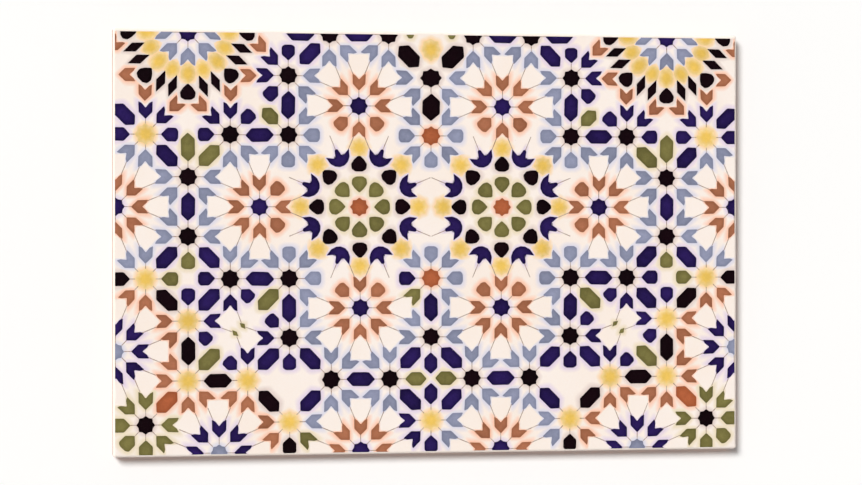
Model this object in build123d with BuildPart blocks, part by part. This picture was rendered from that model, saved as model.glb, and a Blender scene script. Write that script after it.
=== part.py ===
from build123d import *
import os

# A glazed wall tile for a kitchen backsplash, pressed and fired as one piece of clay.
# It lies on its keyed back with the glazed face up. Sizes are in millimetres.
# The origin is the middle of the back, +X runs along the long side and +Z leaves the face.

# Outline of the tile
tile_length = 300.0
tile_width = 200.0
tile_thickness = 8.0
corner_radius = 1.0

# Edges: the glaze rolls over the face's edge, and the press leaves the foot of the wall leaning in
glaze_roll_radius = 1.2
foot_bevel_height = 1.8
foot_bevel_inset = 0.9

# Key on the back: a grid of raised ribs, with drafted cells that the adhesive fills
key_depth = 0.8
key_draft_angle = 30.0
rib_width = 3.0
frame_width = 9.0
cells_along = 12
cells_across = 8
cell_corner_radius = 3.0


def cell_size(side, cells):
    """Mouth of one cell, so that a row of cells and ribs fills a side between its frame bars."""
    return (side - 2 * frame_width - (cells - 1) * rib_width) / cells


cell_length = cell_size(tile_length, cells_along)
cell_width = cell_size(tile_width, cells_across)

with BuildPart() as tile:
    # The pressed slab
    with BuildSketch(Plane.XY):
        RectangleRounded(tile_length, tile_width, corner_radius)
    extrude(amount=tile_thickness)

    # The soft edge of the glazed face, and the leaning foot of the wall
    face_edges = tile.faces().sort_by(Axis.Z)[-1].edges()
    fillet(face_edges, radius=glaze_roll_radius)
    back = tile.faces().sort_by(Axis.Z)[0]
    chamfer(back.edges(), length=foot_bevel_inset, length2=foot_bevel_height, reference=back)

    # The cells of the key, cut up from the back
    with BuildSketch(Plane.XY):
        with GridLocations(cell_length + rib_width, cell_width + rib_width, cells_along, cells_across):
            RectangleRounded(cell_length, cell_width, cell_corner_radius)
    extrude(amount=key_depth, taper=key_draft_angle, mode=Mode.SUBTRACT)

tile.part.label = "tile"

os.makedirs("parts", exist_ok=True)
export_step(tile.part, "parts/tile.step")
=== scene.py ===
"""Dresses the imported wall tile: white glaze over bare clay, and the star pattern laid on its face.

Run as a script in Blender. Sizes in the tables below are in millimetres and are turned to metres
where a mesh is made. The pattern is drawn for the tile's left half and mirrored to the right half.
"""

import math
import random

import bmesh
import bpy
from mathutils import Matrix, Vector


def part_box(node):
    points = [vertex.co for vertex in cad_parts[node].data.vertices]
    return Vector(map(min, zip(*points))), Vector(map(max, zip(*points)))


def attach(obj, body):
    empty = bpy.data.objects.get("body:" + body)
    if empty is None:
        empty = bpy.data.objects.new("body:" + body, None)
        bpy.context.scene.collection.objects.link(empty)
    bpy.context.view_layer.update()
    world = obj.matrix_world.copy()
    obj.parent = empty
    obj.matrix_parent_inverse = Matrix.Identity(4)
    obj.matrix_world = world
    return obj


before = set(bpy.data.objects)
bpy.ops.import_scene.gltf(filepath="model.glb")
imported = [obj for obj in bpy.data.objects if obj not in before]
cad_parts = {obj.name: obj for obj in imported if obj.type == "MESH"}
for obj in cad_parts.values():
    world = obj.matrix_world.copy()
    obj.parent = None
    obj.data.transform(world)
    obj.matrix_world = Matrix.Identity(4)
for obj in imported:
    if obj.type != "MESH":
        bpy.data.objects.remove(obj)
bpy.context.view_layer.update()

bl_info = {
    "name": "Star Pattern Wall Tile",
    "version": (1, 0, 0),
    "blender": (4, 5, 0),
    "location": "View3D > Sidebar > Wall Tile",
    "description": "Glazes a pressed wall tile and lays its star pattern",
    "category": "Object",
}

MM = 0.001
BODY = "root"
tile_low, tile_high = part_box("tile")

# The lattice of the pattern. A place is (a + b / sqrt 2) steps from the tile's left edge and
# (c + d / sqrt 2) steps down from its far edge, so that it is written as four small numbers.
HALF_DIAGONAL = math.sqrt(0.5)
COLUMNS_TO_MIDDLE = (4, 5)
ROWS_IN_ALL = (5, 7)

# Directions of the eight spokes that leave a star, in the order of the words in STARS
SPOKES = {"E": 0, "SE": -45, "S": -90, "SW": -135, "W": 180, "NW": 135, "N": 90, "NE": 45}

# The colours that the letters in the tables of stars stand for
COLOURS = {
    "k": "black",
    "c": "cobalt",
    "s": "sky",
    "o": "terracotta",
    "r": "brick",
    "g": "olive",
    "y": "yellow",
}

# Tint that each coloured glaze gives to the white glaze beside it, from 0 to 255
STAINS = {
    "black": (224, 204, 196),
    "cobalt": (225, 207, 232),
    "sky": (218, 216, 234),
    "terracotta": (255, 192, 157),
    "brick": (253, 196, 164),
    "olive": (235, 217, 179),
    "yellow": (252, 209, 143),
}

# One star a line: its place, its colour and the pieces round it. A piece is its shape and its
# colour: H hexagon, S short hexagon, D drop, T short drop, E small drop, V chevron and C small
# chevron. No piece is "no".
STARS = (
    (0, 1, 1, 2, "y", "Dc Hc Vs Vs Dc no Vc Vc"),
    (2, 1, 1, 2, "k", "Hc Vs Vs Hg Dc Vc Vc Dc"),
    (2, 3, 1, 0, "k", "Vs Vs Hc Dc Vc Vc Tc no"),
    (2, 3, 1, 2, "k", "Ds Vs Ds Vs Hc Sg Hc Vs"),
    (1, 1, 2, 2, "k", "Vs Vs Hc Vs Vs Hc Hg Hg"),
    (1, 1, 2, 4, "k", "Vs Hc Dg Hc Vs Vs Hc Vs"),
    (0, 1, 3, 4, "y", "Dg Hk Co Co Dk Vs Vs Hc"),
    (2, 1, 3, 4, "k", "Hc Tc Vc Hc Dc Hc Vs Vs"),
    (2, 3, 3, 4, "k", "Ds Vs Hc Hg Hc Vs Ds Vs"),
    (1, 1, 4, 4, "y", "Vc Tc Hk Co Co Hk Dc Hc"),
    (2, 3, 3, 6, "k", "Vs Hc Dc Hc Vc Tc Hc Vs"),
    (1, 1, 4, 6, "y", "Hk Co Co Hr Co Co Hk Hg"),
    (1, 3, 4, 6, "y", "no Hk Co Co Hk Tc Vc Hc"),
    (3, 3, 4, 6, "k", "Hc Vs Vs Hc no Hc Vs Vs"),
    (3, 5, 4, 6, "k", "Sg Hc Vs Vs Hc Vs Vs Hc"),
    (0, 1, 5.035, 6, "k", "Vg Vg Dg Dg Dg Vg Vg Hr"),
    (3, 3, 0, 0, "k", "Hc Vs Vs no Hc no no no"),
    (3, 5, 0, 0, "k", "no no Vs Vs Hc no no no"),
    (3, 4, 1, 1, "c", "Co Eo Co Eo Co Co Co Co"),
    (2, 2, 2, 3, "c", "Co Eo Co Co Co Co Co Eo"),
    (3, 4, 3, 5, "c", "Co Co Co Co Co Eo Co Eo"),
    (3, 4, 5, 7, "c", "Co Co Co Co Co Co Co Co"),
    (0, 0, 2, 3, "c", "Co Co Co Co Co Co Co Co"),
    (0, 0, 4, 5, "s", "Vc Vc Vc Vc Vc Vc Vc Vc"),
    (1.028, 2, 5.01, 7, "s", "Vc Vc Vc Vc Vc Vc Vc Vc"),
    (1, 1, 0, 0, "c", "Vs Vs Vs Vs Vs Vs Vs Vs"),
)

# Stars that differ between the two halves: the left half's words, then the right half's as they
# would be mirrored
UNEVEN_STARS = (
    (2, 3, 5, 6, "y", "Vs Vg Dk Co Co Hk no Hc", "Vs Vs Dk Co Co Hk no Hc"),
)

# Stars on the tile's middle line, which are laid once. W is a wide hexagon.
MIDDLE_STARS = (
    (4, 5, 1.025, 0, "K", "no Vs Wk Vs no no no no"),
    (4, 5, 1, 2, "r", "Ds Vs Ds Vs Ds Vs no Vs"),
    (4, 5, 3, 4, "r", "Ds Vs Hc Vg Dc Vs Ds Vs"),
    (4, 5, 3, 6, "k", "Vs Hc Sc Hc Vs Vs no Vs"),
    (4, 5, 5, 6, "y", "Vs Vs Dc Vc Vc Hc Sc Hc"),
)

# Pieces of both halves that stand off their place, or are like no other: the star they belong to,
# the spoke, the shape, the colour, and how far they lie out and aside in millimetres
ODD_PIECES = (
    (2, 3, 1, 0, "NE", "hexagon", "cobalt", 0.8, 0.0),
    (0, 1, 1, 2, "NW", "hexagon", "cobalt", -0.5, 0.5),
    (3, 5, 0, 0, "E", "chip", "olive", 0.0, 0.0),
    (4, 5, 1.025, 0, "NW", "broad_hexagon", "black", 0.4, 0.2),
    (4, 5, 1.025, 0, "W", "chevron", "sky", 1.0, 0.0),
)

SUNBURST = (1, 1, 0, 0)
WHEEL = (3, 4, 2, 3)
WHITE_STAR = (1.5, 2, 3.5, 5)
TOP_STAR = (4, 5, 1.03, -1)

# The eight directions from the middle of a rosette, and half the angle between two of them
TURNS = range(0, 360, 45)
HALF_TURN = 22.5

# Places in the sunburst, measured from its middle in millimetres. Two terracotta chevrons fan out
# from the heart of each black drop.
SUNBURST_DROP = 24.0
SUNBURST_DROP_HEART = 28.2
SUNBURST_RHOMB_ASIDE = 3.0
SUNBURST_CHEVRON_OUT = -19.6
CHEVRON_LEAN = 45

# Places in the wheel, measured from its middle in millimetres
WHEEL_INNER_DROP = 6.9
WHEEL_OUTER_DROP = 24.3
WHEEL_STAR = 28.0


def from_srgb(red, green, blue):
    """A colour as Blender keeps it, from its values on the usual scale of 0 to 255."""
    linear = []
    for value in (red, green, blue):
        share = value / 255
        linear.append(share / 12.92 if share <= 0.04045 else ((share + 0.055) / 1.055) ** 2.4)
    return tuple(linear)


# Colours inside the materials
GREY = (0.5, 0.5, 0.5, 1)
IRON_SPECK = from_srgb(168, 128, 98)
THIN_EDGE = from_srgb(214, 172, 138)
SHOWS_THROUGH = (1.0, 0.93, 0.84)
PALE_CLAY = from_srgb(206, 150, 116)
DARK_CLAY = from_srgb(92, 54, 40)
PALE_GROG = from_srgb(222, 188, 158)
DARK_GROG = from_srgb(84, 52, 42)
FLOOR_DIM = from_srgb(243, 242, 240)
FLOOR_PALE = from_srgb(247, 246, 244)

# What a surface's node group gives, and the range in which nearly all of a noise's values lie
FINISH = ("Colour", "Roughness", "Height")
NOISE_RANGE = (0.3, 0.7)

# The refraction of glaze and the depth of its fine relief. The clay's relief, and the step from the
# clay up to the glaze, are so many times as deep.
GLAZE_IOR = 1.5
RELIEF = 0.02 * MM
CLAY_RELIEF = 6.0
GLAZE_STEP = 8.0

# How much of the clay shows through the glaze where it runs out on the wall
EDGE_TINT = 0.5
WHITE_LIGHT = (1, 1, 1, 1)


def lattice_place(columns, column_halves, rows, row_halves, step):
    """Middle of a star in millimetres from the tile's middle, from its four lattice numbers."""
    middle = COLUMNS_TO_MIDDLE[0] + COLUMNS_TO_MIDDLE[1] * HALF_DIAGONAL
    height = ROWS_IN_ALL[0] + ROWS_IN_ALL[1] * HALF_DIAGONAL
    x = columns + column_halves * HALF_DIAGONAL - middle
    y = height / 2 - rows - row_halves * HALF_DIAGONAL
    return x * step, y * step


def both_sides(half):
    """The whole outline from the corners of its upper half, listed from one end to the other."""
    below = [(x, -y) for x, y in reversed(half) if y > 0]
    return list(half) + below


def star_outline(tip, hollow=0.82, points=8, squash=1.0):
    """A star with its tips on the spokes. hollow is the inner corners' share of the tips' radius,
    and squash is its height's share of its width."""
    corners = []
    for index in range(points * 2):
        radius = tip if index % 2 == 0 else tip * hollow
        angle = math.pi * index / points
        corners.append((radius * math.cos(angle), radius * math.sin(angle) * squash))
    return corners


def length_property(label, description, size):
    """A length that a user can change, given in millimetres."""
    return bpy.props.FloatProperty(
        name=label,
        description=description,
        default=size * MM,
        unit="LENGTH",
        precision=6,
    )


def angle_property(label, description, degrees):
    """An angle that a user can change."""
    return bpy.props.FloatProperty(
        name=label,
        description=description,
        default=math.radians(degrees),
        unit="ROTATION",
    )


def number_property(label, description, number):
    """A plain number that a user can change."""
    return bpy.props.FloatProperty(name=label, description=description, default=number)


def colour_property(label, description, *srgb):
    """A colour that a user can change."""
    return bpy.props.FloatVectorProperty(
        name=label,
        description=description,
        default=from_srgb(*srgb),
        size=3,
        subtype="COLOR",
        min=0,
        max=1,
    )


class PatternSizes(bpy.types.PropertyGroup):
    """Sizes of the star pattern on the face."""

    step: length_property("Lattice Step", "Between neighbouring lines of stars", 19.76)
    side_margin: length_property("Side Margin", "White border at the short sides", 0.9)
    far_margin: length_property("Far Margin", "White border at the far side", 1.55)
    near_margin: length_property("Near Margin", "White border at the near side", 0.95)
    sunk: length_property("Sunk", "How far coloured glaze reaches into the white glaze", 0.05)
    proud: length_property("Proud", "How far a piece's rim stands out of the face", 0.04)
    crown: length_property("Crown", "How much higher a piece's middle is than its rim", 0.04)
    hand_shift: length_property("Hand Shift", "Most that a piece is off its place", 0.1)
    hand_turn: angle_property("Hand Turn", "Most that a piece is off its direction", 1.5)
    stain_width: length_property("Stain Width", "How far a coloured glaze stains the white", 2.8)
    line_width: length_property("Line Width", "Width of the lines between white pieces", 0.38)
    seed: bpy.props.IntProperty(
        name="Seed",
        description="Starts the small differences between pieces",
        default=11,
    )


class GlazeColours(bpy.types.PropertyGroup):
    """Colours of the clay, the white glaze and the coloured pieces."""

    white: colour_property("White", "White glaze of the ground", 255, 243, 234)
    warm: colour_property("Warm White", "White glaze where it is thicker", 253, 236, 221)
    clay: colour_property("Clay", "Bare fired clay", 189, 128, 96)
    wash: colour_property("Kiln Wash", "Pale wash on the ribs of the back", 221, 209, 194)
    line: colour_property("Fine Lines", "Hairlines between white pieces", 150, 118, 98)
    black: colour_property("Black", "Black glaze", 19, 3, 9)
    cobalt: colour_property("Cobalt", "Cobalt glaze", 40, 25, 83)
    sky: colour_property("Sky", "Pale blue glaze", 142, 146, 170)
    terracotta: colour_property("Terracotta", "Orange-brown glaze", 171, 108, 78)
    brick: colour_property("Brick", "Red-orange glaze", 180, 97, 61)
    olive: colour_property("Olive", "Green glaze", 121, 114, 65)
    yellow: colour_property("Yellow", "Yellow glaze", 238, 196, 95)


class StageSettings(bpy.types.PropertyGroup):
    """Camera and lamps."""

    distance: length_property("Distance", "From the camera to the tile's middle", 1250)
    side_angle: angle_property("Side Angle", "How far the camera stands left of above", 9.7)
    lens: number_property("Lens", "Focal length in millimetres", 110.0)
    key_strength: number_property("Key", "Strength of the main lamp", 3.25)
    sky_strength: number_property("Surroundings", "Strength of the light all round", 0.75)


# Most that the columns stand off the lattice, how far from the middle that ends and the heights
# between which it grows, in millimetres
SPREAD = 0.9
SPREAD_REACH = 90
SPREAD_HEIGHTS = (-60, 60)

# Most that a piece is larger or smaller than its like, as a share of its size
SIZE_SPREAD = 0.02

# Middle of a hexagon, halfway between the two stars that it joins
HEXAGON_MIDDLE = 13.97


def hexagon_outline(half_length, half_flat, half_width):
    """A hexagon between two stars, with its tips towards them."""
    return both_sides(
        [
            (HEXAGON_MIDDLE + half_length, 0),
            (HEXAGON_MIDDLE + half_flat, half_width),
            (HEXAGON_MIDDLE - half_flat, half_width),
            (HEXAGON_MIDDLE - half_length, 0),
        ]
    )


def pattern_shapes():
    """Outlines of the pieces in millimetres. +X points away from the star that a piece belongs to,
    and the star's middle is the origin, so that a piece is laid by turning it about its star."""
    return {
        "star_black": star_outline(4.45),
        "star_long": star_outline(5.3, squash=0.86),
        "star_cobalt": star_outline(4.4),
        "star_sky": star_outline(4.1),
        "star_yellow": star_outline(5.0, 0.8),
        "star_brick": star_outline(4.7),
        "star_small": star_outline(4.5, 0.8),
        "hexagon": hexagon_outline(6.9, 3.85, 3.3),
        "wide_hexagon": hexagon_outline(6.6, 3.0, 4.25),
        "broad_hexagon": hexagon_outline(7.0, 3.85, 3.8),
        "short_hexagon": both_sides([(17.7, 0), (14.9, 3.2), (10.3, 3.2), (7.2, 0)]),
        "drop": both_sides([(7.1, 0), (10.1, 3.2), (14.2, 3.2), (15.2, 1.7)]),
        "short_drop": both_sides([(7.15, 0), (10.0, 3.1), (13.7, 3.1), (14.6, 1.7)]),
        "small_drop": both_sides([(7.5, 0), (10.3, 3.05), (14.1, 3.1), (15.1, 1.6)]),
        "chevron": both_sides([(7.1, 0), (10.4, 3.25), (15.5, 3.4), (14.7, 1.8), (12.4, 0)]),
        "small_chevron": both_sides(
            [(7.2, 0), (10.3, 3.0), (15.1, 3.15), (14.3, 1.75), (12.3, 0)]
        ),
        "teardrop": both_sides([(-0.3, 0), (1.8, 2.3), (4.0, 3.75), (6.4, 3.4), (7.5, 1.6)]),
        "crown": both_sides(
            [
                (29.4, 0), (28.9, 0.8), (25.9, 1.5), (25.5, 2.5),
                (27.3, 5.9), (23.7, 4.9), (21.7, 3.2), (20.7, 1.2),
            ]
        ),
        "rhomb": both_sides([(20.4, 0), (26.1, 2.25), (31.5, 0)]),
        "long_leaf": both_sides([(14.8, 1.4), (16.6, 2.95), (19.0, 3.5), (21.6, 3.1), (24.3, 0)]),
        "short_leaf": both_sides([(14.8, 1.4), (16.6, 2.95), (19.0, 3.5), (20.9, 3.0), (22.9, 0)]),
        "top_star": both_sides(
            [
                (6.0, 0), (4.4, 1.7), (3.9, 3.3), (2.1, 3.6), (0.4, 4.7),
                (-1.5, 3.8), (-3.4, 3.5), (-3.7, 1.7), (-4.8, 0),
            ]
        ),
        "speck": both_sides([(3.7, 0), (2.3, 2.0), (1.4, 0)]),
        "chip": both_sides([(8.1, 0), (9.2, 1.7), (11.0, 1.7), (12.0, 0)]),
    }


# Most that a piece reaches from its own middle, and how far its corners are rounded, in millimetres
PIECE_REACH = 8
SHARP_SHAPES = {
    "rhomb": 0.25,
    "chevron": 0.36,
    "small_chevron": 0.36,
    "crown": 0.3,
    "speck": 0.2,
    "top_star": 0.34,
}
USUAL_ROUNDING = 0.5
STAR_ROUNDING = 0.34

# Size of the circle that an outline is drawn from, and the angle up to which edges are smooth
START_RADIUS = 4 * MM
SMOOTH_DEGREES = 40

# A face points up where its normal is at least this high, and a corner this near to a border of
# the print lies on it
UPWARD = 0.9
BORDER_TOUCH = 0.001 * MM

# The crown of a piece is its outline drawn in to this share of its size, towards its heart
CROWN_SHARE = 0.35
HEARTS = {
    "chevron": 10.9,
    "small_chevron": 10.8,
    "crown": 23.7,
    "teardrop": 4.4,
    "drop": 11.8,
    "short_drop": 11.0,
    "small_drop": 11.8,
    "top_star": 0.4,
}

# The stain's corners are rounded, and it rises from just above the face to under the piece's rim
STAIN_ROUNDING = 1.4
STAIN_FOOT = 0.003
STAIN_RISE = 0.022

# Start and end of the fine lines, measured in millimetres from the middle of their star, and how
# far some of them lie aside of it
SPOKE_LINE = (4.0, 7.5)
ROSETTE_LINE = (14.3, 21.6)
ROSETTE_LINE_ASIDE = 3.2
WHEEL_LINE = (28.6, 36.3)
WHITE_STAR_LINE = (2.6, 8.0)
WHITE_STAR_LINE_ASIDE = 2.1

# How far the fine lines stand out of the face, and the share of their width that each side slopes
LINE_PROUD = 0.022
LINE_SLOPE = 0.2

# Directions of the white star's two specks, and the angle from them to its lines
SPECK_TURNS = (45, 225)
WHITE_STAR_LEAN = 65

# The word for no piece, the letters of the rosettes' stars and of the chevrons
NO_PIECE = "no"
ROSETTE_STARS = "cs"
CHEVRON_LETTERS = "VC"

# The shapes that the letters in the tables of stars stand for
SHAPE_LETTERS = {
    "H": "hexagon",
    "W": "wide_hexagon",
    "S": "short_hexagon",
    "D": "drop",
    "T": "short_drop",
    "E": "small_drop",
    "V": "chevron",
    "C": "small_chevron",
}
STAR_SHAPES = {
    "k": "star_black",
    "K": "star_long",
    "c": "star_cobalt",
    "s": "star_sky",
    "y": "star_yellow",
    "r": "star_brick",
}


def beside(x, y, turn, out, aside=0.0):
    """The spot that lies out from a place along a direction, and aside of it."""
    angle = math.radians(turn)
    return (
        x + out * math.cos(angle) - aside * math.sin(angle),
        y + out * math.sin(angle) + aside * math.cos(angle),
    )


class Piece:
    """One piece of the pattern: its shape and colour, the star it is laid from and its turn."""

    def __init__(self, shape, colour, x, y, turn, out=0.0, aside=0.0):
        self.shape = shape
        self.colour = colour
        self.x = x
        self.y = y
        self.turn = turn
        self.out = out
        self.aside = aside

    def mirrored(self):
        """The same piece in the other half of the tile."""
        return Piece(
            self.shape, self.colour, -self.x, self.y, 180 - self.turn, self.out, -self.aside
        )

    def spot(self, middle):
        """Where the middle of the piece's outline comes to lie on the face."""
        return beside(self.x, self.y, self.turn, self.out + middle, self.aside)


def star_with_spokes(place, star, words, step):
    """A star and the pieces round it."""
    x, y = lattice_place(*place, step)
    laid = [Piece(STAR_SHAPES[star], COLOURS[star.lower()], x, y, 0)]
    for direction, word in zip(SPOKES.values(), words.split()):
        if word != NO_PIECE:
            laid.append(Piece(SHAPE_LETTERS[word[0]], COLOURS[word[1]], x, y, direction))
    return laid


def sunburst_pieces(step):
    """The large rosette that the far edge cuts: a yellow ring, black drops, slim black rhombs
    and terracotta chevrons that point away from it."""
    x, y = lattice_place(*SUNBURST, step)
    laid = []
    for turn in TURNS:
        laid.append(Piece("long_leaf", "yellow", x, y, turn))
        laid.append(Piece("short_leaf", "yellow", x, y, turn + HALF_TURN))
        laid.append(Piece("teardrop", "black", x, y, turn, SUNBURST_DROP))
        heart = beside(x, y, turn, SUNBURST_DROP_HEART)
        for side in (-1, 1):
            aside = side * SUNBURST_RHOMB_ASIDE
            back = turn + side * CHEVRON_LEAN + 180
            laid.append(Piece("rhomb", "black", x, y, turn + HALF_TURN, aside=aside))
            laid.append(Piece("small_chevron", "terracotta", *heart, back, SUNBURST_CHEVRON_OUT))
    return laid


def wheel_pieces(step):
    """The round wheel of drops, crowns and small stars."""
    x, y = lattice_place(*WHEEL, step)
    laid = [Piece("star_small", "brick", x, y, 0)]
    for turn in TURNS:
        outer_drop = beside(x, y, turn, WHEEL_OUTER_DROP)
        star = beside(x, y, turn, WHEEL_STAR)
        laid.append(Piece("teardrop", "olive", x, y, turn, WHEEL_INNER_DROP))
        laid.append(Piece("teardrop", "black", *outer_drop, turn + 180))
        laid.append(Piece("star_small", "yellow", *star, turn))
        laid.append(Piece("crown", "cobalt", x, y, turn + HALF_TURN))
    return laid


def pattern_pieces(step):
    """Every piece of the pattern, each laid once."""
    left = []
    right = []
    for *place, star, words in STARS:
        left.extend(star_with_spokes(place, star, words, step))
    left.extend(sunburst_pieces(step))
    left.extend(wheel_pieces(step))
    for *place, spoke, shape, colour, out, aside in ODD_PIECES:
        x, y = lattice_place(*place, step)
        left.append(Piece(shape, colour, x, y, SPOKES[spoke], out, aside))
    x, y = lattice_place(*WHITE_STAR, step)
    left.extend(Piece("speck", "olive", x, y, turn) for turn in SPECK_TURNS)
    right.extend(piece.mirrored() for piece in left)
    for *place, star, left_words, right_words in UNEVEN_STARS:
        left.extend(star_with_spokes(place, star, left_words, step))
        right.extend(piece.mirrored() for piece in star_with_spokes(place, star, right_words, step))
    middle = []
    for *place, star, words in MIDDLE_STARS:
        middle.extend(star_with_spokes(place, star, words, step))
    x, y = lattice_place(*TOP_STAR, step)
    middle.append(Piece("top_star", "yellow", x, y, -90))
    return left + right + middle


def spoke_lines(place, words, step):
    """The short lines that join a star's tips to the pieces round it."""
    x, y = lattice_place(*place, step)
    return [
        (x, y, direction, SPOKE_LINE, 0.0)
        for direction, word in zip(SPOKES.values(), words.split())
        if word != NO_PIECE
    ]


def rosette_lines(place, words, step):
    """The lines between a rosette's white pieces, one on each side of a chevron."""
    x, y = lattice_place(*place, step)
    return [
        (x, y, direction + HALF_TURN * side, ROSETTE_LINE, -side * ROSETTE_LINE_ASIDE)
        for direction, word in zip(SPOKES.values(), words.split())
        for side in (-1, 1)
        if word[0] in CHEVRON_LETTERS
    ]


def fine_lines(step):
    """Every fine line: the point it is measured from, its direction, its start and end along that
    direction, and how far it lies aside."""
    left = []
    for *place, star, words in STARS:
        left.extend(spoke_lines(place, words, step))
        if star in ROSETTE_STARS and tuple(place) != SUNBURST:
            left.extend(rosette_lines(place, words, step))
    for *place, _, words, _ in UNEVEN_STARS:
        left.extend(spoke_lines(place, words, step))
    x, y = lattice_place(*WHITE_STAR, step)
    for turn in SPECK_TURNS:
        for side in (-1, 1):
            lean = turn - side * WHITE_STAR_LEAN
            left.append((x, y, lean, WHITE_STAR_LINE, side * WHITE_STAR_LINE_ASIDE))
    x, y = lattice_place(*WHEEL, step)
    for turn in TURNS:
        left.append((x, y, turn + HALF_TURN, WHEEL_LINE, 0.0))
    right = [(-x, y, 180 - turn, reach, -aside) for x, y, turn, reach, aside in left]
    middle = []
    for *place, _, words in MIDDLE_STARS:
        middle.extend(spoke_lines(place, words, step))
    return left + right + middle


def deselect_all():
    """Leaves nothing selected, so that an operator acts only on what is picked next."""
    if bpy.context.object and bpy.context.object.mode != "OBJECT":
        bpy.ops.object.mode_set(mode="OBJECT")
    bpy.ops.object.select_all(action="DESELECT")


def pick(obj):
    """Makes one object the selected and active one."""
    deselect_all()
    obj.select_set(True)
    bpy.context.view_layer.objects.active = obj


def pick_corner(obj, index):
    """Selects one corner of a mesh that is being edited."""
    bpy.ops.mesh.select_all(action="DESELECT")
    mesh = bmesh.from_edit_mesh(obj.data)
    mesh.verts.ensure_lookup_table()
    mesh.verts[index].select_set(True)
    bmesh.update_edit_mesh(obj.data)
    return mesh.verts[index].co.copy()


def draw_outline(outline):
    """A flat face with the corners of an outline, left in edit mode with all of it selected."""
    deselect_all()
    bpy.ops.mesh.primitive_circle_add(
        vertices=len(outline),
        radius=START_RADIUS,
        fill_type="NGON",
        location=(0, 0, 0),
    )
    face = bpy.context.active_object
    bpy.ops.object.mode_set(mode="EDIT")
    bpy.ops.mesh.select_mode(type="VERT")
    for index, (x, y) in enumerate(outline):
        start = pick_corner(face, index)
        bpy.ops.transform.translate(value=Vector((x * MM, y * MM, 0)) - start)
    bpy.ops.mesh.select_all(action="SELECT")
    bpy.ops.mesh.normals_make_consistent(inside=False)
    return face


def extrude_up(height):
    """Extrudes what is selected straight up."""
    bpy.ops.mesh.extrude_region_move(TRANSFORM_OT_translate={"value": (0, 0, height)})


def model_form(outline, heart, rounding, wall, rise, top_share, foot_share=(1, 1)):
    """Models a closed, low form with a straight wall and a sloping top. Its foot and its top are
    scaled about a point on the shape's own X, its heart, so that no corner folds over."""
    middle = (heart * MM, 0, 0)
    form = draw_outline(outline)
    bpy.ops.transform.resize(value=(*foot_share, 1), center_override=middle)
    bpy.ops.mesh.bevel(offset=rounding * MM, segments=2, affect="VERTICES")
    bpy.ops.mesh.select_all(action="SELECT")
    extrude_up(wall)
    extrude_up(rise)
    bpy.ops.transform.resize(value=(*top_share, 1), center_override=middle)
    bpy.ops.mesh.select_all(action="SELECT")
    bpy.ops.mesh.normals_make_consistent(inside=False)
    bpy.ops.object.mode_set(mode="OBJECT")
    return form


def mark_heights(form, name, level, below, above):
    """Gives the corners of a form one value below a level and another above it."""
    marks = form.data.attributes.new(name, "FLOAT", "POINT").data
    for mark, vertex in zip(marks, form.data.vertices):
        mark.value = above if vertex.co.z > level else below


def model_shape(name, outline, sizes):
    """Models one shape of the pattern as a low pillow that sits in the tile's face."""
    wall = sizes.sunk + sizes.proud
    usual = STAR_ROUNDING if name.startswith("star") else USUAL_ROUNDING
    rounding = SHARP_SHAPES.get(name, usual)
    shares = (CROWN_SHARE, CROWN_SHARE)
    form = model_form(outline, heart_of(name, outline), rounding, wall, sizes.crown, shares)
    mark_heights(form, "rim", wall + sizes.crown / 2, 1.0, 0.0)
    form.data.attributes.new("tone", "FLOAT", "POINT")
    return form


def model_stain(name, outline, sizes):
    """Models the stain that a coloured piece leaves in the white glaze round it: a very low skirt
    that starts on the face and rises to just under the piece's rim."""
    across = [x for x, _ in outline]
    length = max(across) - min(across)
    width = 2 * max(y for _, y in outline)
    wider = 1 + 2 * sizes.stain_width / MM / length
    taller = 1 + 2 * sizes.stain_width / MM / width
    foot = sizes.sunk + STAIN_FOOT * MM
    rise = STAIN_RISE * MM
    form = model_form(
        outline,
        heart_of(name, outline),
        STAIN_ROUNDING,
        foot,
        rise,
        top_share=(1 / wider, 1 / taller),
        foot_share=(wider, taller),
    )
    mark_heights(form, "stain", foot + rise / 2, 0.0, 1.0)
    form.data.attributes.new("stain_colour", "FLOAT_COLOR", "POINT")
    return form


def model_line(sizes):
    """Models one millimetre of fine line, with a flattened crown and ends that fall away."""
    height = sizes.sunk + LINE_PROUD * MM
    deselect_all()
    bpy.ops.mesh.primitive_cube_add(
        size=MM,
        location=(0.5 * MM, 0, height / 2),
        scale=(1, sizes.line_width / MM, height / MM),
    )
    master = bpy.context.active_object
    master.name = "line"
    bpy.ops.object.transform_apply(location=True, rotation=True, scale=True)
    bpy.ops.object.mode_set(mode="EDIT")
    bpy.ops.mesh.select_mode(type="FACE")
    bpy.ops.mesh.select_all(action="DESELECT")
    mesh = bmesh.from_edit_mesh(master.data)
    for face in mesh.faces:
        face.select_set(face.normal.z > UPWARD)
    bmesh.update_edit_mesh(master.data)
    bpy.ops.mesh.inset(thickness=sizes.line_width * LINE_SLOPE, depth=LINE_PROUD * MM / 2)
    bpy.ops.object.mode_set(mode="OBJECT")
    return master


def on_tile(x, y, reach=PIECE_REACH):
    """Whether anything within reach of a spot may lie on the tile's face."""
    return abs(x) < tile_high.x / MM + reach and abs(y) < tile_high.y / MM + reach


def centre_of(outline):
    """Middle of an outline along its own X."""
    across = [x for x, _ in outline]
    return (min(across) + max(across)) / 2


def heart_of(name, outline):
    """The point on a shape's own X that its crown is drawn in towards."""
    return HEARTS.get(name, centre_of(outline))


def spread(x, y):
    """How far a spot lies off the lattice, away from the tile's middle. The columns stand a little
    further apart towards the far edge."""
    low, high = SPREAD_HEIGHTS
    rise = min(max((y - low) / (high - low), 0), 1)
    wave = math.sin(math.pi * min(abs(x) / SPREAD_REACH, 1))
    return math.copysign(SPREAD * rise * wave, x)


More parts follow.
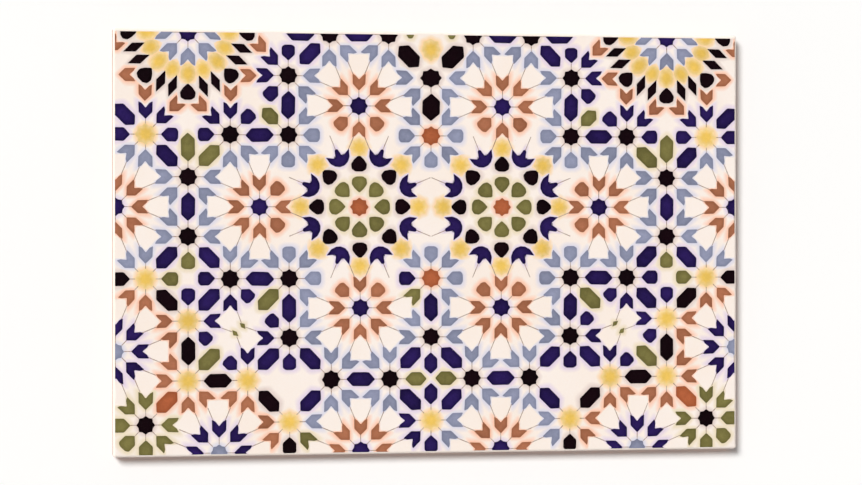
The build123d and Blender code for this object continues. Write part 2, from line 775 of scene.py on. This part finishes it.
def placed(piece, middle, chance, sizes):
    """Where a piece goes, a little off its place and direction."""
    shift = sizes.hand_shift
    off_lattice = spread(*piece.spot(middle))
    lean = chance.uniform(-1, 1) * sizes.hand_turn
    slip = Vector((chance.uniform(-1, 1) * shift, chance.uniform(-1, 1) * shift, 0))
    size = 1 + chance.uniform(-SIZE_SPREAD, SIZE_SPREAD)
    star_x = (piece.x + off_lattice) * MM
    star = Matrix.Translation((star_x, piece.y * MM, tile_high.z - sizes.sunk))
    turned = Matrix.Rotation(math.radians(piece.turn), 4, "Z")
    away = Matrix.Translation((piece.out * MM, piece.aside * MM, 0))
    at_middle = Matrix.Translation(Vector((middle * MM, 0, 0)) + slip)
    own = Matrix.Rotation(lean, 4, "Z") @ Matrix.Diagonal((size, size, 1, 1))
    back = Matrix.Translation((-middle * MM, 0, 0))
    return star @ turned @ away @ at_middle @ own @ back


def trim_to_print(obj, sizes):
    """Cuts a group of pieces off along the straight borders of the printed part."""
    borders = (
        (1, 0, tile_high.x - sizes.side_margin),
        (-1, 0, tile_high.x - sizes.side_margin),
        (0, 1, tile_high.y - sizes.far_margin),
        (0, -1, tile_high.y - sizes.near_margin),
    )
    pick(obj)
    bpy.ops.object.mode_set(mode="EDIT")
    for across, along, distance in borders:
        bpy.ops.mesh.select_all(action="SELECT")
        bpy.ops.mesh.bisect(
            plane_co=(across * distance, along * distance, 0),
            plane_no=(across, along, 0),
            use_fill=True,
            clear_outer=True,
            threshold=BORDER_TOUCH,
        )
    bpy.ops.object.mode_set(mode="OBJECT")


def laid_pieces(colour, sizes):
    """The shape, place and tone of every piece of one colour. Neighbouring stars share the pieces
    between them, so a piece whose spot is taken isn't laid again."""
    outlines = pattern_shapes()
    chance = random.Random(sizes.seed + sum(map(ord, colour)))
    laid = []
    taken = set()
    for piece in pattern_pieces(sizes.step / MM):
        middle = centre_of(outlines[piece.shape])
        x, y = piece.spot(middle)
        if piece.colour != colour or not on_tile(x, y):
            continue
        near = {(round(x) + i, round(y) + j) for i in (-1, 0, 1) for j in (-1, 0, 1)}
        if taken & near:
            continue
        taken.add((round(x), round(y)))
        laid.append((piece.shape, placed(piece, middle, chance, sizes), chance.random()))
    return laid


def copy_to(master, place):
    """A copy of a master, with its own mesh, at a place."""
    copy = bpy.data.objects.new(master.name, master.data.copy())
    bpy.context.scene.collection.objects.link(copy)
    copy.matrix_world = place
    return copy


def lay_shapes(name, laid, model, attribute, field, sizes):
    """Lays shapes, each with its place and the numbers of its attribute, and joins them."""
    outlines = pattern_shapes()
    masters = {}
    copies = []
    for shape, place, numbers in laid:
        if shape not in masters:
            masters[shape] = model(shape, outlines[shape], sizes)
        copy = copy_to(masters[shape], place)
        values = copy.data.attributes[attribute].data
        values.foreach_set(field, numbers * len(values))
        copies.append(copy)
    for master in masters.values():
        bpy.data.objects.remove(master)
    return join_copies(copies, name)


def lay_colour(colour, sizes):
    """Lays every piece of one colour and joins them."""
    laid = [(shape, place, [tone]) for shape, place, tone in laid_pieces(colour, sizes)]
    return lay_shapes(colour + "_pieces", laid, model_shape, "tone", "value", sizes)


def lay_stains(sizes):
    """Lays the stain of every coloured piece and joins them."""
    laid = [
        (shape, place, opaque(from_srgb(*stain)))
        for colour, stain in STAINS.items()
        for shape, place, _ in laid_pieces(colour, sizes)
    ]
    return lay_shapes("glaze_stains", laid, model_stain, "stain_colour", "color", sizes)


def lay_lines(sizes):
    """Lays the fine lines and joins them."""
    master = model_line(sizes)
    copies = []
    for x, y, turn, (start, end), aside in fine_lines(sizes.step / MM):
        if not on_tile(x, y, end):
            continue
        x += spread(*beside(x, y, turn, (start + end) / 2, aside))
        star = Matrix.Translation((x * MM, y * MM, tile_high.z - sizes.sunk))
        turned = Matrix.Rotation(math.radians(turn), 4, "Z")
        away = Matrix.Translation((start * MM, aside * MM, 0))
        drawn_out = Matrix.Diagonal((end - start, 1, 1, 1))
        copies.append(copy_to(master, star @ turned @ away @ drawn_out))
    bpy.data.objects.remove(master)
    return join_copies(copies, "fine_lines")


def join_copies(copies, name):
    """Joins copies into one object that sits at the origin."""
    if not copies:
        raise RuntimeError("nothing was laid for " + name)
    deselect_all()
    for copy in copies:
        copy.select_set(True)
    bpy.context.view_layer.objects.active = copies[0]
    bpy.ops.object.join()
    whole = bpy.context.active_object
    whole.name = name
    whole.data.name = name
    bpy.ops.object.transform_apply(location=True, rotation=True, scale=True)
    return whole


def finish_piece(obj, material, sizes):
    """Trims a finished piece to the print and gives it its material, shading and body."""
    trim_to_print(obj, sizes)
    pick(obj)
    bpy.ops.object.shade_smooth_by_angle(angle=math.radians(SMOOTH_DEGREES))
    obj.data.materials.clear()
    obj.data.materials.append(material)
    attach(obj, BODY)
    deselect_all()


def opaque(colour):
    """A colour as a socket takes it."""
    return (*colour[:3], 1)


def set_input(tree, socket, value):
    """Links an input to another node's output, or sets its own value."""
    if isinstance(value, bpy.types.NodeSocket):
        tree.links.new(value, socket)
    else:
        socket.default_value = value


def feed(tree, node, **values):
    """Sets or links the inputs of a node. An underscore in a name stands for a space."""
    for name, value in values.items():
        set_input(tree, node.inputs[name.replace("_", " ")], value)
    return node


def add_node(tree, kind, label="", **settings):
    """A shader node in a tree, with its settings."""
    node = tree.nodes.new("ShaderNode" + kind)
    node.label = label
    for name, value in settings.items():
        setattr(node, name, value)
    return node


def math_node(tree, operation, first, second, clamp=False):
    """One step of arithmetic on two values."""
    node = add_node(tree, "Math", operation=operation, use_clamp=clamp)
    set_input(tree, node.inputs[0], first)
    set_input(tree, node.inputs[1], second)
    return node.outputs[0]


def add(tree, first, second):
    """Two values added."""
    return math_node(tree, "ADD", first, second)


def times(tree, first, second):
    """Two values multiplied."""
    return math_node(tree, "MULTIPLY", first, second)


def map_range(tree, value, low, high, to_low, to_high, smooth=False):
    """A value moved from one range to another and kept within it."""
    kind = "SMOOTHSTEP" if smooth else "LINEAR"
    node = add_node(tree, "MapRange", interpolation_type=kind)
    for socket, wanted in zip(node.inputs, (value, low, high, to_low, to_high)):
        set_input(tree, socket, wanted)
    return node.outputs[0]


def from_noise(tree, value, to_low, to_high):
    """A noise's value moved to another range."""
    return map_range(tree, value, *NOISE_RANGE, to_low, to_high)


def mix_colours(tree, amount, first, second):
    """Two colours mixed by an amount."""
    node = add_node(tree, "Mix", data_type="RGBA")
    for name, value in (("Factor", amount), ("A", first), ("B", second)):
        socket = next(s for s in node.inputs if s.name == name and s.enabled)
        set_input(tree, socket, opaque(value) if isinstance(value, tuple) else value)
    return next(s for s in node.outputs if s.enabled)


def mix_values(tree, amount, first, second):
    """Two values mixed by an amount."""
    node = add_node(tree, "Mix", data_type="FLOAT")
    return feed(tree, node, Factor=amount, A=first, B=second).outputs[0]


def noise(tree, place, label, scale, detail, roughness):
    """A soft noise over the surface. The scale is in waves to each unit of the place, which is a
    millimetre on the tile and a metre on the floor."""
    node = add_node(tree, "TexNoise", label)
    feed(tree, node, Vector=place, Scale=scale, Detail=detail, Roughness=roughness)
    return node.outputs["Fac"]


def dots(tree, place, label, scale, core, reach, strength=1.0):
    """Soft round dots strewn over the surface, one to a cell, and three numbers that differ from
    dot to dot. A dot is at full strength within its core and gone at its reach, both in cells."""
    cells = add_node(tree, "TexVoronoi", label, feature="F1")
    feed(tree, cells, Vector=place, Scale=scale, Randomness=1.0)
    near = map_range(tree, cells.outputs["Distance"], core, reach, strength, 0.0, smooth=True)
    return near, parts_of(tree, "SeparateColor", cells.outputs["Color"])


def parts_of(tree, kind, value):
    """The three parts of a colour or of a place."""
    node = add_node(tree, kind)
    tree.links.new(value, node.inputs[0])
    return node.outputs


def attribute(tree, name, output="Fac"):
    """An attribute that a piece's mesh carries."""
    return add_node(tree, "Attribute", name, attribute_name=name).outputs[output]


def millimetres(tree):
    """The place on the piece in millimetres."""
    place = add_node(tree, "TexCoord").outputs["Object"]
    scale = add_node(tree, "VectorMath", "metres to millimetres", operation="SCALE")
    tree.links.new(place, scale.inputs[0])
    scale.inputs["Scale"].default_value = 1 / MM
    return scale.outputs[0]


def new_group(name, outputs, **inputs):
    """An empty node group. Its inputs come with their defaults, and a colour is a tuple."""
    group = bpy.data.node_groups.new(name, "ShaderNodeTree")
    for label, default in inputs.items():
        kind = "NodeSocketColor" if isinstance(default, tuple) else "NodeSocketFloat"
        label = label.replace("_", " ")
        socket = group.interface.new_socket(label, in_out="INPUT", socket_type=kind)
        socket.default_value = default
    for label in outputs:
        kind = "NodeSocketColor" if label == "Colour" else "NodeSocketFloat"
        group.interface.new_socket(label, in_out="OUTPUT", socket_type=kind)
    given = group.nodes.new("NodeGroupInput").outputs
    return group, given, group.nodes.new("NodeGroupOutput")


def coloured_glaze_group():
    """Colour of one fired glaze: it pools darker at a piece's rim, differs a little from piece
    to piece and is mottled within each."""
    group, given, out = new_group(
        "Coloured Glaze",
        FINISH,
        Colour=GREY,
        Rim_Colour=GREY,
        Pooling=0.7,
        Tone_Spread=0.1,
        Mottle=0.1,
    )
    place = millimetres(group)
    broad = noise(group, place, "cloudy glaze", scale=0.35, detail=3.0, roughness=0.6)
    fine = noise(group, place, "grain of the glaze", scale=2.4, detail=3.0, roughness=0.7)
    pins = noise(group, place, "pin specks", scale=5.5, detail=1.0, roughness=0.5)
    pooled = math_node(group, "POWER", attribute(group, "rim"), 1.4)
    pooled = times(group, pooled, from_noise(group, broad, 0.65, 1.15))
    pooled = math_node(group, "MULTIPLY", pooled, given["Pooling"], clamp=True)
    colour = mix_colours(group, pooled, given["Colour"], given["Rim Colour"])
    tone = map_range(group, attribute(group, "tone"), 0, 1, -1, 1)
    cloud = from_noise(group, broad, -1, 1)
    grain = from_noise(group, fine, -1, 1)
    mottle = times(group, add(group, times(group, grain, 0.6), cloud), given["Mottle"])
    tone = add(group, times(group, tone, given["Tone Spread"]), mottle)
    shade = add_node(group, "HueSaturation", "tone of the piece")
    feed(group, shade, Value=add(group, tone, 1.0), Color=colour)
    thin = mix_colours(group, 0.05, given["Colour"], SHOWS_THROUGH)
    pins = map_range(group, pins, 0.66, 0.72, 0.0, 0.25)
    wave = add(group, times(group, broad, 0.8), times(group, fine, 0.15))
    feed(
        group,
        out,
        Colour=mix_colours(group, pins, shade.outputs[0], thin),
        Roughness=from_noise(group, fine, 0.1, 0.2),
        Height=wave,
    )
    return group


def white_glaze_group():
    """The white ground: nearly even, with soft warm clouds, rare iron specks and pinholes."""
    group, given, out = new_group("White Glaze", FINISH, Colour=GREY, Warm_Colour=GREY, Specks=1.0)
    place = millimetres(group)
    broad = noise(group, place, "warm clouds", scale=0.03, detail=2.0, roughness=0.5)
    fine = noise(group, place, "grain of the glaze", scale=0.9, detail=4.0, roughness=0.65)
    peel = noise(group, place, "orange peel", scale=0.22, detail=2.0, roughness=0.5)
    clouds = map_range(group, broad, 0.35, 0.7, 0.0, 0.45, smooth=True)
    warmth = add(group, clouds, map_range(group, fine, 0.35, 0.7, 0.0, 0.3))
    colour = mix_colours(group, warmth, given["Colour"], given["Warm Colour"])
    speck, chance = dots(group, place, "iron specks", scale=0.14, core=0.012, reach=0.028)
    speck = times(group, speck, map_range(group, chance[0], 0.55, 0.6, 0.0, 0.5))
    speck = times(group, speck, given["Specks"])
    pit, _ = dots(group, place, "pinholes", scale=0.22, core=0.015, reach=0.04, strength=-0.7)
    feed(
        group,
        out,
        Colour=mix_colours(group, speck, colour, IRON_SPECK),
        Roughness=from_noise(group, fine, 0.1, 0.17),
        Height=add(group, peel, pit),
    )
    return group


def bare_clay_group():
    """Pressed and fired clay: grainy, with grog, and a pale kiln wash where the ribs stood."""
    group, given, out = new_group("Bare Clay", FINISH, Clay=GREY, Wash=GREY, Rib_Height=0.12)
    place = millimetres(group)
    broad = noise(group, place, "firing clouds", scale=0.04, detail=3.0, roughness=0.6)
    grain = noise(group, place, "clay grain", scale=3.0, detail=4.0, roughness=0.7)
    worn = noise(group, place, "worn wash", scale=0.12, detail=4.0, roughness=0.7)
    clouds = from_noise(group, broad, 0.0, 0.6)
    colour = mix_colours(group, clouds, given["Clay"], PALE_CLAY)
    dark = mix_colours(group, 0.55, given["Clay"], DARK_CLAY)
    colour = mix_colours(group, map_range(group, grain, 0.45, 0.75, 0.0, 0.55), colour, dark)
    grit, chance = dots(group, place, "grog", scale=0.9, core=0.12, reach=0.2, strength=0.75)
    pale = times(group, grit, map_range(group, chance[0], 0.6, 0.65, 0.0, 1.0))
    murk = times(group, grit, map_range(group, chance[1], 0.75, 0.8, 0.0, 1.0))
    colour = mix_colours(group, pale, colour, PALE_GROG)
    colour = mix_colours(group, murk, colour, DARK_GROG)
    height = parts_of(group, "SeparateXYZ", place)[2]
    wash = map_range(group, height, given["Rib Height"], 0.0, 0.0, 1.0)
    wash = times(group, wash, map_range(group, worn, 0.34, 0.56, 0.15, 1.0))
    wash = times(group, wash, map_range(group, grain, 0.35, 0.6, 1.0, 0.55))
    feed(
        group,
        out,
        Colour=mix_colours(group, wash, colour, given["Wash"]),
        Roughness=from_noise(group, grain, 0.82, 0.95),
        Height=add(group, add(group, grain, broad), times(group, grit, -0.35)),
    )
    return group


def glaze_line_group():
    """Where the white glaze covers the clay: down over the edge to an uneven line on the wall."""
    group, given, out = new_group(
        "Glaze Line",
        ("Cover", "Thin"),
        Line_Height=6.1,
        Waver=1.6,
        Thin_Height=7.7,
    )
    place = millimetres(group)
    height = parts_of(group, "SeparateXYZ", place)[2]
    slow = noise(group, place, "slow waver", scale=0.06, detail=2.0, roughness=0.5)
    quick = noise(group, place, "runs", scale=0.45, detail=2.0, roughness=0.6)
    waver = math_node(group, "SUBTRACT", add(group, times(group, quick, 0.6), slow), 0.8)
    line = add(group, given["Line Height"], times(group, waver, given["Waver"]))
    above = math_node(group, "SUBTRACT", height, line)
    depth = map_range(group, height, given["Thin Height"], line, 0.0, 1.0)
    feed(
        group,
        out,
        Cover=map_range(group, above, -0.06, 0.06, 0.0, 1.0, smooth=True),
        Thin=math_node(group, "POWER", depth, 1.5),
    )
    return group


def use_group(tree, maker, name, **values):
    """A shared group placed in a material with its values. It is made when first asked for."""
    node = add_node(tree, "Group", name)
    node.node_tree = bpy.data.node_groups.get(name) or maker()
    return feed(tree, node, **values).outputs


def empty_material(name):
    """A material with only its surface shader and output."""
    material = bpy.data.materials.new(name)
    material.use_nodes = True
    tree = material.node_tree
    tree.nodes.clear()
    shader = add_node(tree, "BsdfPrincipled")
    output = add_node(tree, "OutputMaterial")
    tree.links.new(shader.outputs[0], output.inputs["Surface"])
    return material, tree, shader


def glaze_surface(tree, shader, colour, roughness, height):
    """Feeds a fired surface's colour, gloss and fine relief to its shader."""
    bump = add_node(tree, "Bump", "fine relief")
    feed(tree, bump, Height=height, Distance=RELIEF, Strength=1.0)
    relief = bump.outputs[0]
    feed(tree, shader, Base_Color=colour, Roughness=roughness, Normal=relief, IOR=GLAZE_IOR)


def darker(colour, share):
    """A colour of which only a share of the light is left."""
    return tuple(value * share for value in colour[:3]) + (1,)


def paler(colour, share):
    """A colour moved part of the way to white."""
    return tuple(value + (1 - value) * share for value in colour[:3]) + (1,)


def coloured_glaze(name, colour, rim_colour, pooling, spread, mottle):
    """Material of one coloured glaze."""
    material, tree, shader = empty_material(name)
    glaze = use_group(
        tree,
        coloured_glaze_group,
        "Coloured Glaze",
        Colour=opaque(colour),
        Rim_Colour=rim_colour,
        Pooling=pooling,
        Tone_Spread=spread,
        Mottle=mottle,
    )
    glaze_surface(tree, shader, glaze["Colour"], glaze["Roughness"], glaze["Height"])
    return material


def white_glaze(tree, colours):
    """The white glaze placed in a material, the same wherever it is used."""
    return use_group(
        tree,
        white_glaze_group,
        "White Glaze",
        Colour=opaque(colours.white),
        Warm_Colour=opaque(colours.warm),
        Specks=0.8,
    )


def stained_glaze(colours):
    """Material of the stains: the white glaze, tinted most beside the coloured piece."""
    material, tree, shader = empty_material("stained_white_glaze")
    white = white_glaze(tree, colours)
    patchy = noise(tree, millimetres(tree), "uneven stain", scale=0.6, detail=3.0, roughness=0.6)
    amount = times(tree, attribute(tree, "stain"), from_noise(tree, patchy, 0.8, 1.0))
    colour = mix_colours(tree, amount, white["Colour"], attribute(tree, "stain_colour", "Color"))
    glaze_surface(tree, shader, colour, white["Roughness"], white["Height"])
    return material


def line_glaze(colours):
    """Material of the fine lines: brown, broken and faded as a printed hairline is."""
    material, tree, shader = empty_material("line_glaze")
    white = white_glaze(tree, colours)
    faded = noise(tree, millimetres(tree), "faded line", scale=0.7, detail=3.0, roughness=0.6)
    amount = map_range(tree, faded, 0.35, 0.65, 0.6, 1.0)
    colour = mix_colours(tree, amount, white["Colour"], opaque(colours.line))
    glaze_surface(tree, shader, colour, white["Roughness"], white["Height"])
    return material


def glazed_clay(colours):
    """Material of the tile itself: white glaze on the face and its edge, bare clay elsewhere."""
    material, tree, shader = empty_material("glazed_clay")
    white = white_glaze(tree, colours)
    clay = use_group(
        tree,
        bare_clay_group,
        "Bare Clay",
        Clay=opaque(colours.clay),
        Wash=opaque(colours.wash),
    )
    line = use_group(tree, glaze_line_group, "Glaze Line")
    cover = line["Cover"]
    thin = times(tree, line["Thin"], EDGE_TINT)
    edge = mix_colours(tree, thin, white["Colour"], THIN_EDGE)
    clay_relief = times(tree, clay["Height"], CLAY_RELIEF)
    glaze_relief = add(tree, white["Height"], times(tree, cover, GLAZE_STEP))
    glaze_surface(
        tree,
        shader,
        mix_colours(tree, cover, clay["Colour"], edge),
        mix_values(tree, cover, clay["Roughness"], white["Roughness"]),
        mix_values(tree, cover, clay_relief, glaze_relief),
    )
    return material


class WALLTILE_OT_glaze_body(bpy.types.Operator):
    """Glaze the pressed tile white and leave its wall and back as bare clay"""

    bl_idname = "walltile.glaze_body"
    bl_label = "Glaze Tile Body"

    def execute(self, context):
        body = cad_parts["tile"]
        body.data.materials.clear()
        body.data.materials.append(glazed_clay(context.scene.walltile_colours))
        return {"FINISHED"}


class ColourOperator:
    """What the operators that lay one colour have in common."""

    colour = ""
    rim_share = 0.5
    pooling = 0.75
    spread = 0.1
    mottle = 0.1

    def rim_colour(self, colour):
        """The glaze pools darker at its rim."""
        return darker(colour, self.rim_share)

    def execute(self, context):
        sizes = context.scene.walltile_pattern
        colour = getattr(context.scene.walltile_colours, self.colour)
        pieces = lay_colour(self.colour, sizes)
        glaze = coloured_glaze(
            self.colour + "_glaze",
            colour,
            self.rim_colour(colour),
            self.pooling,
            self.spread,
            self.mottle,
        )
        finish_piece(pieces, glaze, sizes)
        return {"FINISHED"}


class WALLTILE_OT_lay_black(ColourOperator, bpy.types.Operator):
    """Lay the black stars, hexagons, drops and rhombs"""

    bl_idname = "walltile.lay_black"
    bl_label = "Lay Black"
    colour = "black"
    rim_share = 0.45
    spread = 0.25
    mottle = 0.2


class WALLTILE_OT_lay_cobalt(ColourOperator, bpy.types.Operator):
    """Lay the cobalt hexagons, drops, chevrons, crowns and rosette stars"""

    bl_idname = "walltile.lay_cobalt"
    bl_label = "Lay Cobalt"
    colour = "cobalt"
    rim_share = 0.26
    pooling = 0.85
    spread = 0.2
    mottle = 0.16


class WALLTILE_OT_lay_sky(ColourOperator, bpy.types.Operator):
    """Lay the pale blue chevrons, drops and stars"""

    bl_idname = "walltile.lay_sky"
    bl_label = "Lay Sky Blue"
    colour = "sky"
    rim_share = 0.62
    pooling = 0.6
    spread = 0.12


class WALLTILE_OT_lay_terracotta(ColourOperator, bpy.types.Operator):
    """Lay the terracotta chevrons and drops"""

    bl_idname = "walltile.lay_terracotta"
    bl_label = "Lay Terracotta"
    colour = "terracotta"
    rim_share = 0.62
    spread = 0.12


class WALLTILE_OT_lay_brick(ColourOperator, bpy.types.Operator):
    """Lay the red-orange stars and hexagons"""

    bl_idname = "walltile.lay_brick"
    bl_label = "Lay Brick Red"
    colour = "brick"
    rim_share = 0.6


class WALLTILE_OT_lay_olive(ColourOperator, bpy.types.Operator):
    """Lay the green hexagons, drops and chevrons"""

    bl_idname = "walltile.lay_olive"
    bl_label = "Lay Olive"
    colour = "olive"
    rim_share = 0.55
    spread = 0.14
    mottle = 0.14


class WALLTILE_OT_lay_yellow(ColourOperator, bpy.types.Operator):
    """Lay the yellow stars and the ring of the sunbursts"""

    bl_idname = "walltile.lay_yellow"
    bl_label = "Lay Yellow"
    colour = "yellow"
    pooling = 0.8
    spread = 0.06
    mottle = 0.06

    def rim_colour(self, colour):
        """Yellow runs thin at its rim and lets the white through."""
        return paler(colour, 0.35)


class WALLTILE_OT_lay_stains(bpy.types.Operator):
    """Lay the tints that the coloured glazes leave in the white glaze round them"""

    bl_idname = "walltile.lay_stains"
    bl_label = "Lay Stains"

    def execute(self, context):
        sizes = context.scene.walltile_pattern
        finish_piece(lay_stains(sizes), stained_glaze(context.scene.walltile_colours), sizes)
        return {"FINISHED"}


class WALLTILE_OT_lay_lines(bpy.types.Operator):
    """Lay the fine lines between the white pieces"""

    bl_idname = "walltile.lay_lines"
    bl_label = "Lay Fine Lines"

    def execute(self, context):
        sizes = context.scene.walltile_pattern
        finish_piece(lay_lines(sizes), line_glaze(context.scene.walltile_colours), sizes)
        return {"FINISHED"}


# Stage: the floor, its gap under the tile and how much it glows to the camera
FLOOR_RADIUS = 6.0
FLOOR_SIDES = 96
FLOOR_GAP = 0.2 * MM
FLOOR_LIFT = 0.08

# The light overhead as a share of that at the horizon, and the height at which it gets there
OVERHEAD_SHARE = 0.06
OVERHEAD_HEIGHT = 0.8

# Where the lamps shine from, the key lamp's softness in degrees, and the other's power and size
KEY_DIRECTION = (-0.55, 0.5, 1.0)
KEY_SOFTNESS = 22
BACK_LAMP_PLACE = (0.25, -0.2, -0.9)
BACK_LAMP_POWER = 6.0
BACK_LAMP_SIZE = 0.5

# The camera's nearest and furthest sight in metres, and how far it stands towards the tile's far
# edge, as a share of its distance
CAMERA_SIGHT = (0.01, 50)
CAMERA_FORWARD = 0.006


class WALLTILE_OT_build_stage(bpy.types.Operator):
    """Build the floor, the lamps, the surroundings and the camera"""

    bl_idname = "walltile.build_stage"
    bl_label = "Build Stage"

    def execute(self, context):
        settings = context.scene.walltile_stage
        deselect_all()
        bpy.ops.mesh.primitive_circle_add(
            vertices=FLOOR_SIDES,
            radius=FLOOR_RADIUS,
            fill_type="NGON",
            location=(0, 0, tile_low.z - FLOOR_GAP),
        )
        floor = context.active_object
        floor.name = "floor"
        bpy.ops.object.transform_apply(location=True, rotation=True, scale=True)
        floor.data.materials.append(floor_material())
        light_from_surroundings(context.scene, settings.sky_strength)
        add_key_lamp(settings.key_strength)
        add_lamp_below()
        context.scene.camera = add_camera(settings)
        context.scene.view_settings.view_transform = "Standard"
        return {"FINISHED"}


def floor_material():
    """Pale matt floor. It is see-through from below and to shadow rays, so that the back of the
    tile can be lit and seen from under it."""
    material, tree, shader = empty_material("pale_floor")
    place = add_node(tree, "TexCoord").outputs["Object"]
    grain = noise(tree, place, "soft unevenness", scale=2.0, detail=3.0, roughness=0.6)
    rays = add_node(tree, "LightPath").outputs
    feed(
        tree,
        shader,
        Base_Color=mix_colours(tree, grain, FLOOR_DIM, FLOOR_PALE),
        Roughness=0.9,
        Emission_Color=WHITE_LIGHT,
        Emission_Strength=times(tree, rays["Is Camera Ray"], FLOOR_LIFT),
    )
    back = add_node(tree, "NewGeometry").outputs["Backfacing"]
    clear = add_node(tree, "BsdfTransparent")
    choice = add_node(tree, "MixShader")
    either = math_node(tree, "MAXIMUM", rays["Is Shadow Ray"], back)
    sources = (either, shader.outputs[0], clear.outputs[0])
    for source, socket in zip(sources, choice.inputs):
        tree.links.new(source, socket)
    output = next(n for n in tree.nodes if n.type == "OUTPUT_MATERIAL")
    tree.links.new(choice.outputs[0], output.inputs["Surface"])
    return material


def light_from_surroundings(scene, strength):
    """A plain studio all round: pale at the horizon and dim overhead, so that the glaze mirrors
    little. The camera sees it white."""
    world = bpy.data.worlds.new("studio")
    world.use_nodes = True
    tree = world.node_tree
    tree.nodes.clear()
    direction = add_node(tree, "TexCoord").outputs["Generated"]
    height = parts_of(tree, "SeparateXYZ", direction)[2]
    overhead = strength * OVERHEAD_SHARE
    level = map_range(tree, height, 0.0, OVERHEAD_HEIGHT, strength, overhead, smooth=True)
    seen = add_node(tree, "LightPath").outputs["Is Camera Ray"]
    background = add_node(tree, "Background")
    level = math_node(tree, "MAXIMUM", level, seen)
    feed(tree, background, Color=WHITE_LIGHT, Strength=level)
    output = add_node(tree, "OutputWorld")
    tree.links.new(background.outputs[0], output.inputs["Surface"])
    scene.world = world


def add_holder(name, data, direction):
    """An object for a lamp, turned so that the lamp shines from a direction."""
    holder = bpy.data.objects.new(name, data)
    holder.rotation_euler = Vector(direction).to_track_quat("Z", "Y").to_euler()
    bpy.context.scene.collection.objects.link(holder)
    return holder


def add_key_lamp(strength):
    """The main lamp, wide and soft, from the far left."""
    lamp = bpy.data.lights.new("key_lamp", "SUN")
    lamp.energy = strength
    lamp.angle = math.radians(KEY_SOFTNESS)
    add_holder("key_lamp", lamp, KEY_DIRECTION)


def add_lamp_below():
    """A soft lamp under the floor that only the back of the tile sees."""
    lamp = bpy.data.lights.new("back_lamp", "AREA")
    lamp.energy = BACK_LAMP_POWER
    lamp.size = BACK_LAMP_SIZE
    holder = add_holder("back_lamp", lamp, BACK_LAMP_PLACE)
    holder.location = BACK_LAMP_PLACE
    holder.visible_camera = False


def add_camera(settings):
    """The camera, almost straight above the tile and a little to its left."""
    camera = bpy.data.cameras.new("camera")
    camera.lens = settings.lens
    camera.clip_start, camera.clip_end = CAMERA_SIGHT
    holder = bpy.data.objects.new("camera", camera)
    aim = Vector((0, 0, tile_high.z))
    angle = settings.side_angle
    toward = Vector((-math.sin(angle), CAMERA_FORWARD, math.cos(angle))).normalized()
    right = Vector((0, 1, 0)).cross(toward).normalized()
    turn = Matrix((right, toward.cross(right), toward)).transposed()
    holder.location = aim + toward * settings.distance
    holder.rotation_euler = turn.to_euler()
    bpy.context.scene.collection.objects.link(holder)
    return holder


class WALLTILE_PT_panel(bpy.types.Panel):
    """Lists the tile's operators and sizes"""

    bl_idname = "WALLTILE_PT_panel"
    bl_label = "Wall Tile"
    bl_space_type = "VIEW_3D"
    bl_region_type = "UI"
    bl_category = "Wall Tile"

    def draw(self, context):
        layout = self.layout
        for operator in BUILD_ORDER:
            layout.operator(operator.bl_idname)
        for group in ("walltile_pattern", "walltile_colours", "walltile_stage"):
            settings = getattr(context.scene, group)
            box = layout.box()
            for name in settings.__annotations__:
                box.prop(settings, name)


BUILD_ORDER = (
    WALLTILE_OT_build_stage,
    WALLTILE_OT_glaze_body,
    WALLTILE_OT_lay_black,
    WALLTILE_OT_lay_cobalt,
    WALLTILE_OT_lay_sky,
    WALLTILE_OT_lay_terracotta,
    WALLTILE_OT_lay_brick,
    WALLTILE_OT_lay_olive,
    WALLTILE_OT_lay_yellow,
    WALLTILE_OT_lay_stains,
    WALLTILE_OT_lay_lines,
)
CLASSES = (PatternSizes, GlazeColours, StageSettings, *BUILD_ORDER, WALLTILE_PT_panel)


def register():
    for item in CLASSES:
        bpy.utils.register_class(item)
    bpy.types.Scene.walltile_pattern = bpy.props.PointerProperty(type=PatternSizes)
    bpy.types.Scene.walltile_colours = bpy.props.PointerProperty(type=GlazeColours)
    bpy.types.Scene.walltile_stage = bpy.props.PointerProperty(type=StageSettings)


def unregister():
    del bpy.types.Scene.walltile_stage
    del bpy.types.Scene.walltile_colours
    del bpy.types.Scene.walltile_pattern
    for item in reversed(CLASSES):
        bpy.utils.unregister_class(item)


def main():
    """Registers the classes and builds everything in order."""
    register()
    for operator in BUILD_ORDER:
        group, name = operator.bl_idname.split(".")
        getattr(getattr(bpy.ops, group), name)()


if __name__ == "__main__":
    main()
